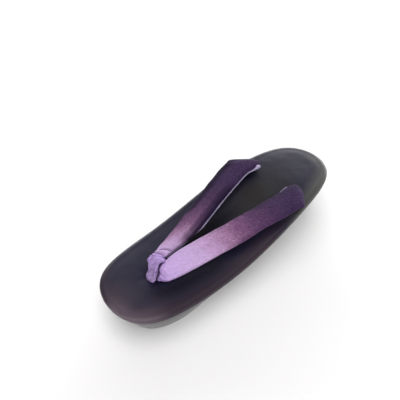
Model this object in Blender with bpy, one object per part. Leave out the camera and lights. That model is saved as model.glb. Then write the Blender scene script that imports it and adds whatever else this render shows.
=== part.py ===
"""Zori sandal: padded top, wrapped wedge core, thin outsole, V strap and front loop.

Lengths in the tables are millimetres and become metres when a mesh is made.
u runs from the heel tip (0) to the toe tip (LENGTH), v is positive to one side,
z is up from the ground. The part frame has +X towards the toe, +Z up, and its
origin on the ground under the middle of the sandal. The sandal is symmetric
about its long centre plane, so either foot wears it.
"""

import math

import bmesh
import bpy
import numpy as np
from mathutils import Vector

MM = 0.001

# ---------------------------------------------------------------- sizes (mm)
LENGTH = 240.0            # heel tip to toe tip of the padded top
OUTLINE_POINTS = 84       # points round the outline
SPINE_FROM, SPINE_TO = 24.0, 214.0   # centre line that the flat faces run in to
GAP = 0.3                 # clear distance between touching pieces
CUT_GAP = 0.35            # clear distance left by a cut

PAD_HALF = 4.6            # half the padded top's thickness at its edge
PAD_ROLL = 5.2            # how far in the rolled edge reaches
PAD_DISH = 0.7            # how far the middle of the top is pressed in

WALL_TOP_INSET = 2.6      # the core's wall starts this far inside the pad's edge
OUTSOLE_THICK = 2.6
OUTSOLE_EDGE = 0.2        # the outsole's edge stands this far outside the wall
TOE_SPRING = 5.0          # lift of the outsole at the toe tip
TOE_SPRING_FROM = 195.0
WAIST_LIFT = 1.2          # lift of the outsole under the arch
WAIST_FROM, WAIST_TO = 78.0, 148.0

SECTION_POINTS = 18       # points round a strap section
SECTION_POWER = 2.5       # roundness of a strap section (2 = ellipse)
LEG_SECTIONS = 44

# The sandal along its length: t is the fraction of LENGTH from the heel,
# breadth is the half breadth of the round-ended form that the outline follows,
# rim is the height of the middle of the padded edge,
# inset is how far the wall has come in where it meets the outsole.
SOLE_COLUMNS = ("t", "breadth", "rim", "inset")
SOLE_ROWS = (
    (0.00, 64.2, 40.9, 12.6),
    (0.10, 53.6, 40.4, 13.4),
    (0.20, 47.8, 39.3, 14.4),
    (0.30, 44.9, 36.6, 15.1),
    (0.40, 43.6, 32.6, 15.3),
    (0.50, 43.1, 27.8, 14.9),
    (0.60, 43.4, 23.7, 13.4),
    (0.70, 44.9, 21.8, 10.4),
    (0.80, 48.9, 22.1, 7.5),
    (0.90, 57.0, 23.8, 7.6),
    (1.00, 71.5, 26.2, 10.0),
)

# One leg of the V from its nose at the toe end to its tail in the side hole.
# Each row is a section: its inner edge, its outer edge, and how far the padded
# face rises above the line between them and the lined face hangs below it.
LEG_COLUMNS = ("in_u", "in_v", "in_z", "out_u", "out_v", "out_z", "face", "under")
LEG_ROWS = (
    (199.0, 5.4, 29.0, 199.0, 9.2, 28.0, 0.9, 0.8),
    (197.4, 3.4, 31.3, 197.2, 11.4, 27.5, 2.5, 1.6),
    (193.0, 1.6, 34.4, 193.0, 13.9, 27.1, 3.3, 2.1),
    (185.5, 0.2, 36.2, 185.5, 16.2, 27.2, 3.5, 2.2),
    (175.0, -0.4, 36.8, 175.0, 18.8, 28.1, 3.4, 2.3),
    (162.0, -0.1, 37.3, 162.0, 21.8, 31.1, 3.1, 2.4),
    (147.0, 2.8, 38.9, 147.5, 25.1, 35.5, 2.8, 2.4),
    (130.0, 7.1, 41.0, 131.5, 29.3, 39.2, 2.6, 2.4),
    (110.0, 12.4, 42.9, 115.0, 33.8, 42.2, 2.5, 2.4),
    (90.0, 16.3, 46.2, 99.0, 37.8, 44.9, 2.4, 2.4),
    (72.0, 19.0, 48.6, 85.5, 41.0, 47.2, 2.4, 2.4),
    (59.2, 21.2, 49.6, 76.8, 42.6, 48.4, 2.4, 2.4),
    (56.2, 23.7, 48.4, 73.4, 43.4, 47.4, 2.5, 2.4),
    (57.0, 25.4, 45.5, 71.5, 42.2, 44.9, 2.6, 2.4),
    (60.4, 26.2, 42.5, 71.0, 38.8, 42.4, 2.7, 2.5),
    (64.6, 26.4, 39.6, 72.6, 34.0, 39.6, 2.7, 2.6),
    (66.4, 26.0, 36.0, 73.6, 31.4, 36.0, 2.7, 2.7),
    (66.6, 26.0, 30.2, 73.4, 31.2, 30.2, 2.7, 2.7),
)

# The front loop, in the centre plane: the front part rises out of the front
# hole and goes over the point of the V, the back part goes down behind it.
# wide is half the loop's breadth across the sandal, thick half its thickness.
LOOP_COLUMNS = ("u", "z", "wide", "thick")
LOOP_FRONT_ROWS = (
    (200.2, 11.0, 4.6, 3.4),
    (201.2, 19.0, 5.0, 3.4),
    (201.5, 25.0, 5.7, 3.0),
    (200.3, 31.0, 5.5, 2.5),
    (198.0, 36.6, 5.5, 2.3),
    (194.0, 39.3, 5.2, 2.2),
    (190.2, 38.0, 4.4, 2.1),
)
LOOP_BACK_ROWS = (
    (193.8, 39.2, 4.7, 1.9),
    (189.6, 37.4, 4.0, 2.0),
    (187.9, 33.4, 3.2, 2.0),
    (189.3, 28.6, 3.2, 2.0),
    (192.6, 24.2, 3.8, 2.2),
    (196.0, 18.0, 4.1, 2.6),
    (197.4, 11.4, 4.1, 3.0),
)
LOOP_SECTIONS = 18
LOOP_POINTS = 14

# The bar that joins the two legs inside the loop.
BAR_U, BAR_Z, BAR_RADIUS, BAR_HALF_LENGTH = 194.2, 31.6, 2.6, 5.0


# ---------------------------------------------------------------- functions
def table(columns, rows):
    """Columns of a table by name."""
    data = np.array(rows, dtype=float)
    return {name: data[:, k] for k, name in enumerate(columns)}


def spline(knots, values, at):
    """Natural cubic spline through (knots, values), read at the points 'at'."""
    knots = np.asarray(knots, dtype=float)
    values = np.asarray(values, dtype=float)
    n = len(knots)
    h = np.diff(knots)
    lhs = np.eye(n)
    rhs = np.zeros(n)
    for i in range(1, n - 1):
        lhs[i, i - 1:i + 2] = (h[i - 1], 2.0 * (h[i - 1] + h[i]), h[i])
        rhs[i] = 6.0 * ((values[i + 1] - values[i]) / h[i] - (values[i] - values[i - 1]) / h[i - 1])
    bend = np.linalg.solve(lhs, rhs)
    at = np.clip(np.asarray(at, dtype=float), knots[0], knots[-1])
    i = np.clip(np.searchsorted(knots, at, side="right") - 1, 0, n - 2)
    a = (knots[i + 1] - at) / h[i]
    b = 1.0 - a
    return (a * values[i] + b * values[i + 1]
            + ((a ** 3 - a) * bend[i] + (b ** 3 - b) * bend[i + 1]) * h[i] ** 2 / 6.0)


SOLE = table(SOLE_COLUMNS, SOLE_ROWS)


def along(column, u):
    """A column of the sole's table at the length u."""
    return spline(SOLE["t"], SOLE[column], np.asarray(u) / LENGTH)


def outline(inset=0.0):
    """Points (u, v) round the padded top's edge, moved in by 'inset' (a number or one per point)."""
    angle = np.linspace(0.0, 2.0 * math.pi, OUTLINE_POINTS, endpoint=False)
    u = 0.5 * LENGTH * (1.0 + np.cos(angle))
    v = np.sin(angle) * along("breadth", u)
    du = (np.roll(u, -1) - np.roll(u, 1))
    dv = (np.roll(v, -1) - np.roll(v, 1))
    size = np.hypot(du, dv)
    return u - inset * dv / size, v + inset * du / size


def ground(u):
    """Height of the outsole's walking face: flat forefoot and heel, lifted waist, sprung toe."""
    u = np.asarray(u, dtype=float)
    toe = np.clip((u - TOE_SPRING_FROM) / (LENGTH - TOE_SPRING_FROM), 0.0, 1.0)
    waist = np.clip((u - WAIST_FROM) / (WAIST_TO - WAIST_FROM), 0.0, 1.0)
    return TOE_SPRING * toe ** 2 + WAIST_LIFT * np.sin(math.pi * waist) ** 2


def pad_under(u):
    """Height of the padded top's lower face."""
    return along("rim", u) - PAD_HALF


def to_frame(points):
    """u, v, z in millimetres to x, y, z in metres."""
    points = np.array(points, dtype=float)
    points[..., 0] -= 0.5 * LENGTH
    return points * MM


def ring(u, v, z):
    return np.stack([u, v, z], axis=1)


def toward_spine(u, v, share):
    """Points a share of the way out from the centre line to (u, v)."""
    core = np.clip(u, SPINE_FROM, SPINE_TO)
    return core + share * (u - core), share * v


def finish_mesh(name, bm, material, smooth_angle=None):
    bmesh.ops.remove_doubles(bm, verts=bm.verts, dist=0.00001)
    bmesh.ops.dissolve_degenerate(bm, edges=bm.edges, dist=0.000001)
    bmesh.ops.recalc_face_normals(bm, faces=bm.faces)
    mesh = bpy.data.meshes.new(name)
    bm.to_mesh(mesh)
    bm.free()
    mesh.shade_smooth()
    if smooth_angle is not None:
        mesh.set_sharp_from_angle(angle=math.radians(smooth_angle))
    obj = bpy.data.objects.new(name, mesh)
    bpy.context.scene.collection.objects.link(obj)
    if material is not None:
        mesh.materials.append(material)
    return obj


def loft(rings, close_ends):
    """Skin of rings that all have the same number of points."""
    bm = bmesh.new()
    rows = [[bm.verts.new(Vector(p)) for p in to_frame(points)] for points in rings]
    count = len(rows[0])
    for lower, upper in zip(rows, rows[1:]):
        for k in range(count):
            m = (k + 1) % count
            bm.faces.new((lower[k], lower[m], upper[m], upper[k]))
    if close_ends:
        for row in (rows[0], rows[-1]):
            bm.faces.new(row)
    return bm


def sections(rows, columns, count):
    """Rows of a table made into 'count' evenly spaced sections."""
    data = table(columns, rows)
    if "in_u" in data:
        mid = np.stack([0.5 * (data["in_" + c] + data["out_" + c]) for c in "uvz"], axis=1)
    else:
        mid = np.stack([data["u"], 0.0 * data["u"], data["z"]], axis=1)
    way = np.concatenate([[0.0], np.cumsum(np.linalg.norm(np.diff(mid, axis=0), axis=1))])
    # a little closer together where the strap turns: half by distance, half by row
    even = np.linspace(0.0, 1.0, count)
    by_row = np.interp(even * (len(way) - 1), np.arange(len(way)), way)
    at = 0.5 * by_row + 0.5 * even * way[-1]
    return {name: spline(way, data[name], at) for name in columns}


def leg_rings(side, grow=0.0, extend=0.0):
    """Section rings of one leg of the V; side is +1 or -1."""
    s = sections(LEG_ROWS, LEG_COLUMNS, LEG_SECTIONS)
    inner = np.stack([s["in_u"], s["in_v"], s["in_z"]], axis=1)
    outer = np.stack([s["out_u"], s["out_v"], s["out_z"]], axis=1)
    mid = 0.5 * (inner + outer)
    half = 0.5 * (outer - inner)
    tangent = np.gradient(mid, axis=0)
    tangent /= np.linalg.norm(tangent, axis=1)[:, None]
    normal = np.cross(half, tangent)
    normal /= np.linalg.norm(normal, axis=1)[:, None]
    width = np.linalg.norm(half, axis=1)
    mid[0] -= tangent[0] * grow
    mid[-1] += tangent[-1] * (grow + extend)
    angle = np.linspace(0.0, 2.0 * math.pi, SECTION_POINTS, endpoint=False) + math.pi / SECTION_POINTS
    cos, sin = np.cos(angle), np.sin(angle)
    across = np.sign(cos) * np.abs(cos) ** (2.0 / SECTION_POWER)
    rise = np.sign(sin) * np.abs(sin) ** (2.0 / SECTION_POWER)
    rings = []
    for k in range(LEG_SECTIONS):
        lift = np.where(rise > 0.0, s["face"][k] + grow, s["under"][k] + grow) * rise
        points = (mid[k] + np.outer(across * (1.0 + grow / width[k]), half[k])
                  + np.outer(lift, normal[k]))
        points[:, 1] *= side
        rings.append(points)
    return rings


def loop_rings(rows, grow=0.0, extend_start=0.0, extend_end=0.0):
    """Section rings of one part of the front loop."""
    s = sections(rows, LOOP_COLUMNS, LOOP_SECTIONS)
    mid = np.stack([s["u"], 0.0 * s["u"], s["z"]], axis=1)
    tangent = np.gradient(mid, axis=0)
    tangent /= np.linalg.norm(tangent, axis=1)[:, None]
    mid[0] -= tangent[0] * extend_start
    mid[-1] += tangent[-1] * extend_end
    across = np.array([0.0, 1.0, 0.0])
    angle = np.linspace(0.0, 2.0 * math.pi, LOOP_POINTS, endpoint=False)
    cos, sin = np.cos(angle), np.sin(angle)
    rings = []
    for k in range(LOOP_SECTIONS):
        normal = np.cross(tangent[k], across)
        wide = s["wide"][k] + grow
        thick = s["thick"][k] + grow
        reach = np.sign(cos) * np.abs(cos) ** 0.85 * wide
        rise = np.sign(sin) * np.abs(sin) ** 0.85 * thick
        rings.append(mid[k] + np.outer(reach, across) + np.outer(rise, normal))
    return rings


# ---------------------------------------------------------------- the scene
for old in list(bpy.data.objects):
    bpy.data.objects.remove(old, do_unlink=True)


def material(name, color, roughness, metallic=0.0):
    mat = bpy.data.materials.new(name)
    mat.use_nodes = True
    shader = mat.node_tree.nodes["Principled BSDF"]
    shader.inputs["Base Color"].default_value = (*color, 1.0)
    shader.inputs["Roughness"].default_value = roughness
    shader.inputs["Metallic"].default_value = metallic
    mat.diffuse_color = (*color, 1.0)
    return mat


def as_guide(obj):
    """A shape that only cuts or joins another."""
    obj.hide_render = True
    obj.display_type = "WIRE"
    return obj


def boolean(obj, other, operation):
    mod = obj.modifiers.new(operation.lower() + "_" + other.name, "BOOLEAN")
    mod.operation = operation
    mod.solver = "EXACT"
    mod.object = other
    return mod


pad_cover = material("pad_cover", (0.045, 0.038, 0.052), 0.45)
core_wrap = material("core_wrap", (0.040, 0.034, 0.045), 0.42)
walking_rubber = material("walking_rubber", (0.030, 0.028, 0.032), 0.70)
crepe = material("strap_crepe", (0.33, 0.20, 0.42), 0.75)
loop_crepe = material("loop_crepe", (0.36, 0.26, 0.50), 0.80)


# padded top: rolled edge, then flat faces run in to the centre line
def top_pad():
    rings = []
    steps = 9
    for share in (0.0, 0.5):
        u, v = toward_spine(*outline(PAD_ROLL), share)
        rings.append(ring(u, v, pad_under(u)))
    for k in range(steps):
        turn = math.pi * k / (steps - 1) - 0.5 * math.pi
        u, v = outline(PAD_ROLL * (1.0 - math.cos(turn)))
        rings.append(ring(u, v, along("rim", u) + PAD_HALF * math.sin(turn)))
    for share in (0.75, 0.4, 0.0):
        u, v = toward_spine(*outline(PAD_ROLL), share)
        rings.append(ring(u, v, along("rim", u) + PAD_HALF - PAD_DISH * (1.0 - share ** 2)))
    return finish_mesh("top_pad", loft(rings, False), pad_cover, 50.0)


# wrapped wedge core: walls taper in from under the pad to the outsole
def sole_body():
    top = outline(WALL_TOP_INSET)
    edge_soft = 0.5
    foot = outline(along("inset", outline()[0]))
    levels = []
    for share in (0.0, 1.0):
        u, v = toward_spine(*outline(WALL_TOP_INSET + edge_soft), share)
        levels.append(ring(u, v, pad_under(u) - GAP))
    height_top = pad_under(top[0]) - GAP - edge_soft
    height_foot = ground(foot[0]) + OUTSOLE_THICK + GAP
    for share in (0.0, 0.33, 0.66, 1.0):
        swell = 0.9 * math.sin(math.pi * share)
        u = top[0] + (foot[0] - top[0]) * share
        v = top[1] + (foot[1] - top[1]) * share
        out_u, out_v = outline(0.0)
        near_u, near_v = outline(1.0)
        u = u + (out_u - near_u) * swell
        v = v + (out_v - near_v) * swell
        levels.append(ring(u, v, height_top + (height_foot - height_top) * share))
    u, v = toward_spine(*foot, 0.0)
    levels.append(ring(u, v, ground(u) + OUTSOLE_THICK + GAP))
    return finish_mesh("sole_body", loft(levels, False), core_wrap, 40.0)


# thin outsole with a small standing edge
def outsole():
    foot = outline(along("inset", outline()[0]) - OUTSOLE_EDGE)
    low = outline(along("inset", outline()[0]) - OUTSOLE_EDGE + 0.8)
    soft = outline(along("inset", outline()[0]) - OUTSOLE_EDGE + 0.5)
    levels = []
    for share in (0.0, 1.0):
        u, v = toward_spine(*soft, share)
        levels.append(ring(u, v, ground(u) + OUTSOLE_THICK))
    levels.append(ring(*foot, ground(foot[0]) + OUTSOLE_THICK - 0.5))
    levels.append(ring(*foot, ground(foot[0]) + 0.8))
    levels.append(ring(*low, ground(low[0])))
    u, v = toward_spine(*low, 0.0)
    levels.append(ring(u, v, ground(u)))
    return finish_mesh("outsole", loft(levels, False), walking_rubber, 40.0)


def leg(name, side, grow=0.0, extend=0.0):
    return finish_mesh(name, loft(leg_rings(side, grow, extend), True), crepe)


def loop_part(name, rows, grow=0.0, start=0.0, end=0.0):
    return finish_mesh(name, loft(loop_rings(rows, grow, start, end), True), loop_crepe)


pad = top_pad()
core = sole_body()
tread = outsole()

strap = leg("strap", 1)
other_leg = as_guide(leg("guide_other_leg", -1))
bm = bmesh.new()
bmesh.ops.create_cone(bm, cap_ends=True, segments=20, radius1=BAR_RADIUS * MM, radius2=BAR_RADIUS * MM,
                      depth=2.0 * BAR_HALF_LENGTH * MM)
bmesh.ops.rotate(bm, verts=bm.verts, cent=(0.0, 0.0, 0.0),
                 matrix=Vector((0.0, 0.0, 1.0)).rotation_difference(Vector((0.0, 1.0, 0.0))).to_matrix())
bmesh.ops.translate(bm, verts=bm.verts, vec=((BAR_U - 0.5 * LENGTH) * MM, 0.0, BAR_Z * MM))
bar = as_guide(finish_mesh("guide_bar", bm, None))

front_loop = loop_part("front_loop", LOOP_FRONT_ROWS)
loop_back = as_guide(loop_part("guide_loop_back", LOOP_BACK_ROWS))
boolean(front_loop, loop_back, "UNION")

loop_room_front = as_guide(loop_part("guide_loop_room_front", LOOP_FRONT_ROWS, CUT_GAP, CUT_GAP, CUT_GAP))
loop_room_back = as_guide(loop_part("guide_loop_room_back", LOOP_BACK_ROWS, CUT_GAP, CUT_GAP, CUT_GAP))
leg_room = as_guide(leg("guide_leg_room", 1, CUT_GAP, 0.3))
other_leg_room = as_guide(leg("guide_other_leg_room", -1, CUT_GAP, 0.3))

boolean(strap, other_leg, "UNION")
boolean(strap, bar, "UNION")
boolean(strap, loop_room_front, "DIFFERENCE")
boolean(strap, loop_room_back, "DIFFERENCE")

for body in (pad, core):
    for room in (loop_room_front, loop_room_back, leg_room, other_leg_room):
        boolean(body, room, "DIFFERENCE")
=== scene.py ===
"""Zori sandal: the looks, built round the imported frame.

Lengths are millimetres in the tables and become metres when a mesh is made.
u runs from the heel tip (0) to the toe tip (LENGTH), v is positive to one side,
z is up from the ground. The row frame has +X towards the toe and +Z up.
"""

import math

import bmesh
import bpy
import numpy as np
from mathutils import Matrix, Vector, noise
from mathutils.bvhtree import BVHTree


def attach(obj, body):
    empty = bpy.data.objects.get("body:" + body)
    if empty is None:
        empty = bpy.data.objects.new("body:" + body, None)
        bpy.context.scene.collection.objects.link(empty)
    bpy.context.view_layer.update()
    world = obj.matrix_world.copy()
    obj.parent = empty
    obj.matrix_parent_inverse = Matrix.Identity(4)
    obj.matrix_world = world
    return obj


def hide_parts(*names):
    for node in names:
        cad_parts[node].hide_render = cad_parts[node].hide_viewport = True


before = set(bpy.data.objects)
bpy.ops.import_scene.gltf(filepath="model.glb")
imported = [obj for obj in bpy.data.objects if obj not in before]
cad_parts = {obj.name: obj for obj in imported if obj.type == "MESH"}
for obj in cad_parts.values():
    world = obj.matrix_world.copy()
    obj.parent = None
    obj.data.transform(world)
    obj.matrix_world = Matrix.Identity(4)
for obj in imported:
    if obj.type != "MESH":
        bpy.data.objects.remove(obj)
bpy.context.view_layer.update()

MM = 0.001

# ---------------------------------------------------------------- sizes (mm), as in the frame
LENGTH = 240.0
SPINE_FROM, SPINE_TO = 24.0, 214.0
GAP = 0.3
PAD_HALF = 4.6
PAD_ROLL = 5.2
PAD_DISH = 0.7
WALL_TOP_INSET = 2.6
OUTSOLE_THICK = 2.6
OUTSOLE_EDGE = 0.2
TOE_SPRING = 5.0
TOE_SPRING_FROM = 195.0
WAIST_LIFT = 1.2
WAIST_FROM, WAIST_TO = 78.0, 148.0
SECTION_POWER = 2.5

SOLE_COLUMNS = ("t", "breadth", "rim", "inset")
SOLE_ROWS = (
    (0.00, 64.2, 40.9, 12.6),
    (0.10, 53.6, 40.4, 13.4),
    (0.20, 47.8, 39.3, 14.4),
    (0.30, 44.9, 36.6, 15.1),
    (0.40, 43.6, 32.6, 15.3),
    (0.50, 43.1, 27.8, 14.9),
    (0.60, 43.4, 23.7, 13.4),
    (0.70, 44.9, 21.8, 10.4),
    (0.80, 48.9, 22.1, 7.5),
    (0.90, 57.0, 23.8, 7.6),
    (1.00, 71.5, 26.2, 10.0),
)

LEG_COLUMNS = ("in_u", "in_v", "in_z", "out_u", "out_v", "out_z", "face", "under")
LEG_ROWS = (
    (199.0, 5.4, 29.0, 199.0, 9.2, 28.0, 0.9, 0.8),
    (197.4, 3.4, 31.3, 197.2, 11.4, 27.5, 2.5, 1.6),
    (193.0, 1.6, 34.4, 193.0, 13.9, 27.1, 3.3, 2.1),
    (185.5, 0.2, 36.2, 185.5, 16.2, 27.2, 3.5, 2.2),
    (175.0, -0.4, 36.8, 175.0, 18.8, 28.1, 3.4, 2.3),
    (162.0, -0.1, 37.3, 162.0, 21.8, 31.1, 3.1, 2.4),
    (147.0, 2.8, 38.9, 147.5, 25.1, 35.5, 2.8, 2.4),
    (130.0, 7.1, 41.0, 131.5, 29.3, 39.2, 2.6, 2.4),
    (110.0, 12.4, 42.9, 115.0, 33.8, 42.2, 2.5, 2.4),
    (90.0, 16.3, 46.2, 99.0, 37.8, 44.9, 2.4, 2.4),
    (72.0, 19.0, 48.6, 85.5, 41.0, 47.2, 2.4, 2.4),
    (59.2, 21.2, 49.6, 76.8, 42.6, 48.4, 2.4, 2.4),
    (56.2, 23.7, 48.4, 73.4, 43.4, 47.4, 2.5, 2.4),
    (57.0, 25.4, 45.5, 71.5, 42.2, 44.9, 2.6, 2.4),
    (60.4, 26.2, 42.5, 71.0, 38.8, 42.4, 2.7, 2.5),
    (64.6, 26.4, 39.6, 72.6, 34.0, 39.6, 2.7, 2.6),
    (66.4, 26.0, 36.0, 73.6, 31.4, 36.0, 2.7, 2.7),
    (66.6, 26.0, 30.2, 73.4, 31.2, 30.2, 2.7, 2.7),
)

# The loop's whole way round the point of the V: up in front, over, down behind. "v" shifts it across,
# "drape" bends its sides down round what it goes over.
LOOP_COLUMNS = ("u", "v", "z", "wide", "thick", "drape")
LOOP_ROWS = (
    (201.2, 0.0, 11.0, 4.3, 2.2, 0.0),
    (201.8, 0.0, 19.0, 4.6, 2.4, 0.0),
    (201.6, 0.2, 24.6, 4.9, 2.7, 0.0),
    (200.4, 0.9, 27.6, 5.6, 2.7, 0.01),
    (198.9, 1.0, 30.6, 5.2, 2.5, 0.02),
    (197.9, 0.4, 33.6, 5.0, 2.4, 0.05),
    (196.2, -0.8, 36.2, 5.0, 2.3, 0.07),
    (193.2, -1.6, 38.0, 4.9, 2.2, 0.08),
    (190.0, -1.1, 37.0, 4.2, 2.1, 0.05),
    (187.9, -0.3, 33.2, 3.3, 2.0, 0.0),
    (189.3, 0.0, 28.6, 3.2, 2.0, 0.0),
    (192.6, 0.0, 24.2, 3.8, 2.1, 0.0),
    (195.6, 0.0, 18.0, 4.1, 2.0, 0.0),
    (197.0, 0.0, 11.4, 4.1, 1.8, 0.0),
)


# ---------------------------------------------------------------- functions
def table(columns, rows):
    data = np.array(rows, dtype=float)
    return {name: data[:, k] for k, name in enumerate(columns)}


def spline(knots, values, at):
    knots = np.asarray(knots, dtype=float)
    values = np.asarray(values, dtype=float)
    n = len(knots)
    h = np.diff(knots)
    lhs = np.eye(n)
    rhs = np.zeros(n)
    for i in range(1, n - 1):
        lhs[i, i - 1:i + 2] = (h[i - 1], 2.0 * (h[i - 1] + h[i]), h[i])
        rhs[i] = 6.0 * ((values[i + 1] - values[i]) / h[i] - (values[i] - values[i - 1]) / h[i - 1])
    bend = np.linalg.solve(lhs, rhs)
    at = np.clip(np.asarray(at, dtype=float), knots[0], knots[-1])
    i = np.clip(np.searchsorted(knots, at, side="right") - 1, 0, n - 2)
    a = (knots[i + 1] - at) / h[i]
    b = 1.0 - a
    return (a * values[i] + b * values[i + 1]
            + ((a ** 3 - a) * bend[i] + (b ** 3 - b) * bend[i + 1]) * h[i] ** 2 / 6.0)


SOLE = table(SOLE_COLUMNS, SOLE_ROWS)


def along(column, u):
    return spline(SOLE["t"], SOLE[column], np.asarray(u) / LENGTH)


def outline(inset=0.0, count=420):
    angle = np.linspace(0.0, 2.0 * math.pi, count, endpoint=False)
    u = 0.5 * LENGTH * (1.0 + np.cos(angle))
    v = np.sin(angle) * along("breadth", u)
    du = np.roll(u, -1) - np.roll(u, 1)
    dv = np.roll(v, -1) - np.roll(v, 1)
    size = np.hypot(du, dv)
    return u - inset * dv / size, v + inset * du / size


def ground(u):
    u = np.asarray(u, dtype=float)
    toe = np.clip((u - TOE_SPRING_FROM) / (LENGTH - TOE_SPRING_FROM), 0.0, 1.0)
    waist = np.clip((u - WAIST_FROM) / (WAIST_TO - WAIST_FROM), 0.0, 1.0)
    return TOE_SPRING * toe ** 2 + WAIST_LIFT * np.sin(math.pi * waist) ** 2


def pad_under(u):
    return along("rim", u) - PAD_HALF


def ring(u, v, z):
    return np.stack([u, v, z], axis=1)


def toward_spine(u, v, share):
    core = np.clip(u, SPINE_FROM, SPINE_TO)
    return core + share * (u - core), share * v


def smoothstep(low, high, x):
    t = np.clip((np.asarray(x, dtype=float) - low) / (high - low), 0.0, 1.0)
    return t * t * (3.0 - 2.0 * t)


def bell(x, centre, width):
    return np.exp(-((np.asarray(x, dtype=float) - centre) / width) ** 2)


def lumps(points, wavelength, seed):
    """Smooth noise from -1 to 1 at points in mm, the same every run."""
    shift = Vector((17.31 * seed, 5.77 * seed, 11.13 * seed))
    return np.array([noise.noise(Vector(p) / wavelength + shift) for p in points])


def to_frame(points):
    points = np.array(points, dtype=float)
    points[..., 0] -= 0.5 * LENGTH
    return points * MM


def build(name, verts, faces, materials, smooth_angle=None, attributes=(), face_material=None):
    """An object from points in mm (u, v, z) and faces."""
    mesh = bpy.data.meshes.new(name)
    mesh.from_pydata(to_frame(verts).tolist(), [], [tuple(int(i) for i in f) for f in faces])
    mesh.validate()
    for key, values in attributes:
        layer = mesh.attributes.new(key, "FLOAT", "POINT")
        layer.data.foreach_set("value", np.asarray(values, dtype=np.float32))
    for m in materials:
        mesh.materials.append(m)
    if face_material is not None:
        mesh.polygons.foreach_set("material_index", np.asarray(face_material, dtype=np.int32))
    mesh.shade_smooth()
    if smooth_angle is not None:
        mesh.set_sharp_from_angle(angle=math.radians(smooth_angle))
    mesh.update()
    obj = bpy.data.objects.new(name, mesh)
    bpy.context.scene.collection.objects.link(obj)
    return obj


def loft_faces(count_rings, count_points, start=0, close_start=True, close_end=True, flip=False):
    """Faces of a skin over rings, as indices; ends closed by one face each."""
    faces = []
    for r in range(count_rings - 1):
        a = start + r * count_points
        b = a + count_points
        for k in range(count_points):
            m = (k + 1) % count_points
            faces.append((a + k, a + m, b + m, b + k))
    if close_start:
        faces.append(tuple(start + k for k in range(count_points - 1, -1, -1)))
    if close_end:
        last = start + (count_rings - 1) * count_points
        faces.append(tuple(last + k for k in range(count_points)))
    if flip:
        faces = [tuple(reversed(f)) for f in faces]
    return faces


def outward(obj):
    bm = bmesh.new()
    bm.from_mesh(obj.data)
    bmesh.ops.remove_doubles(bm, verts=bm.verts, dist=0.000002)
    bmesh.ops.dissolve_degenerate(bm, edges=bm.edges, dist=0.0000005)
    bmesh.ops.recalc_face_normals(bm, faces=bm.faces)
    bm.to_mesh(obj.data)
    bm.free()
    obj.data.update()
    return obj


def subtract(obj, cutters):
    """Cuts the cutters' shapes out of obj for good."""
    for cutter in cutters:
        mod = obj.modifiers.new("cut", "BOOLEAN")
        mod.operation = "DIFFERENCE"
        mod.solver = "EXACT"
        mod.object = cutter
    bpy.context.view_layer.update()
    dg = bpy.context.evaluated_depsgraph_get()
    made = bpy.data.meshes.new_from_object(obj.evaluated_get(dg))
    old = obj.data
    obj.modifiers.clear()
    obj.data = made
    made.name = old.name + "_cut"
    for cutter in cutters:
        bpy.data.objects.remove(cutter, do_unlink=True)
    return obj


def sections(rows, columns, count, even_share=0.5):
    data = table(columns, rows)
    if "in_u" in data:
        mid = np.stack([0.5 * (data["in_" + c] + data["out_" + c]) for c in "uvz"], axis=1)
    else:
        mid = np.stack([data["u"], data["v"], data["z"]], axis=1)
    way = np.concatenate([[0.0], np.cumsum(np.linalg.norm(np.diff(mid, axis=0), axis=1))])
    even = np.linspace(0.0, 1.0, count)
    by_row = np.interp(even * (len(way) - 1), np.arange(len(way)), way)
    at = (1.0 - even_share) * by_row + even_share * even * way[-1]
    found = {name: spline(way, data[name], at) for name in columns}
    found["way"] = at
    return found


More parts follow.
